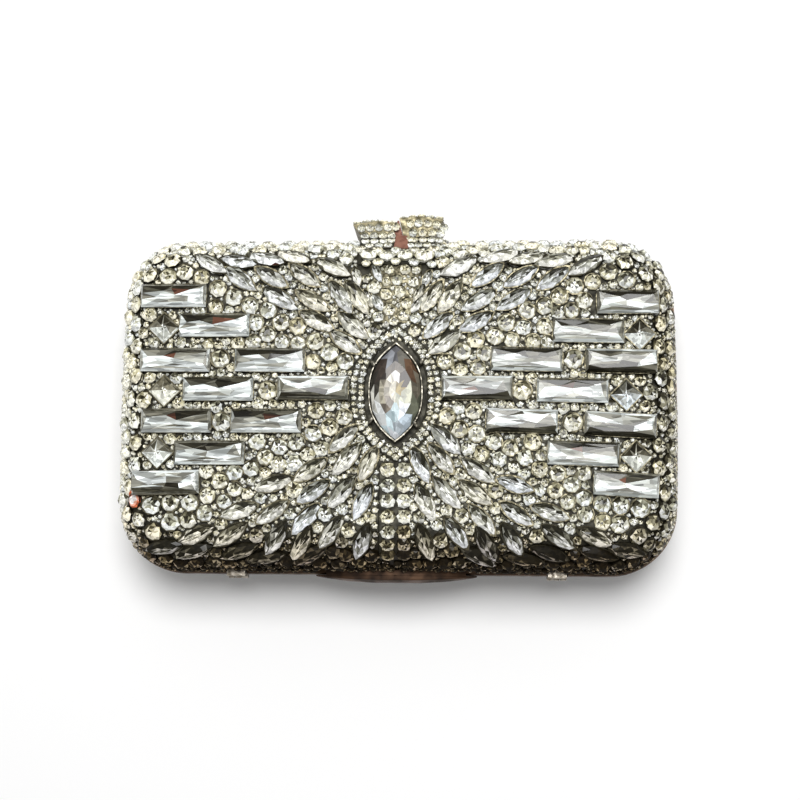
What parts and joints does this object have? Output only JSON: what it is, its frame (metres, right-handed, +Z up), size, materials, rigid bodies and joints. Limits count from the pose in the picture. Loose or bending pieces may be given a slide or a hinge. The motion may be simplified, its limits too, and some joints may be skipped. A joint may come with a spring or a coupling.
{
  "type": "evening clutch bag",
  "caption": "Hard-case evening clutch set with cut-glass stones: two hinged halves that open at the base hinge, a fan-shaped clasp, lined inside.",
  "frame": {"origin": "on the resting surface under the middle of the case, in the table of the centre stone of the back face", "axes": "+X across the width, +Y to the clasp, +Z up to the front face, as the clutch lies on its back"},
  "size_m": [0.19, 0.1236, 0.05],
  "materials": {
    "dark_shell_metal": "dark olive grey metal under the stones",
    "brass_frame": "aged gold-brown, satin",
    "copper_catch": "matt copper",
    "steel": "polished steel",
    "pave_setting": "plated setting filled with small cream-white stones",
    "crystal": "clear faceted glass, foiled behind",
    "lining_cloth": "dark satin cloth over board"
  },
  "bodies": {
    "back_half": {"back_frame": "brass_frame", "back_shell": "dark_shell_metal", "back_lining": "lining_cloth", "slip_pocket": "lining_cloth", "left_hinge_back_leaf": "steel", "right_hinge_back_leaf": "steel", "left_hinge_pin": "steel", "right_hinge_pin": "steel", "back_base_plate": "brass_frame", "clasp_fixed_lobe": "pave_setting", "back_clasp_post": "brass_frame", "back_clasp_pin": "steel", "clasp_catch": "copper_catch", "back_clasp_base": "pave_setting", "back_left_stones": "crystal", "back_right_stones": "crystal", "back_centre_stones": "crystal"},
    "front_half": {"front_frame": "brass_frame", "front_shell": "dark_shell_metal", "front_lining": "lining_cloth", "left_hinge_front_leaf": "steel", "right_hinge_front_leaf": "steel", "front_base_plate": "brass_frame", "front_clasp_post": "brass_frame", "front_clasp_pin": "steel", "clasp_spring": "steel", "front_clasp_base": "pave_setting", "front_jewel": "crystal", "front_jewel_bezel": "steel", "front_halo": "pave_setting", "front_top_strip": "pave_setting", "front_bottom_strip": "pave_setting", "front_baguette_left_01": "crystal", "front_baguette_left_02": "crystal", "front_baguette_left_03": "crystal", "front_baguette_left_04": "crystal", "front_baguette_left_05": "crystal", "front_baguette_left_06": "crystal", "front_baguette_left_07": "crystal", "front_baguette_left_08": "crystal", "front_baguette_left_09": "crystal", "front_baguette_left_10": "crystal", "front_baguette_right_01": "crystal", "front_baguette_right_02": "crystal", "front_baguette_right_03": "crystal", "front_baguette_right_04": "crystal", "front_baguette_right_05": "crystal", "front_baguette_right_06": "crystal", "front_baguette_right_07": "crystal", "front_baguette_right_08": "crystal", "front_baguette_right_09": "crystal", "front_baguette_right_10": "crystal", "front_square_left_1": "crystal", "front_square_left_2": "crystal", "front_square_left_3": "crystal", "front_square_right_1": "crystal", "front_square_right_2": "crystal", "front_square_right_3": "crystal"},
    "clasp_lever": {"clasp_lever": "pave_setting"}
  },
  "joints": [
    {"name": "case_opening", "type": "hinge", "parent": "back_half", "child": "front_half", "pos_m": [0, -0.057, 0.025], "axis": [1, 0, 0], "range_deg": [0, 105]},
    {"name": "clasp_release", "type": "hinge", "parent": "front_half", "child": "clasp_lever", "pos_m": [0.007, 0.0605, 0.0274], "axis": [0, 0, -1], "range_deg": [0, 6], "stiffness_Nm_per_rad": 0.05, "springref_deg": -2.86}
  ]
}
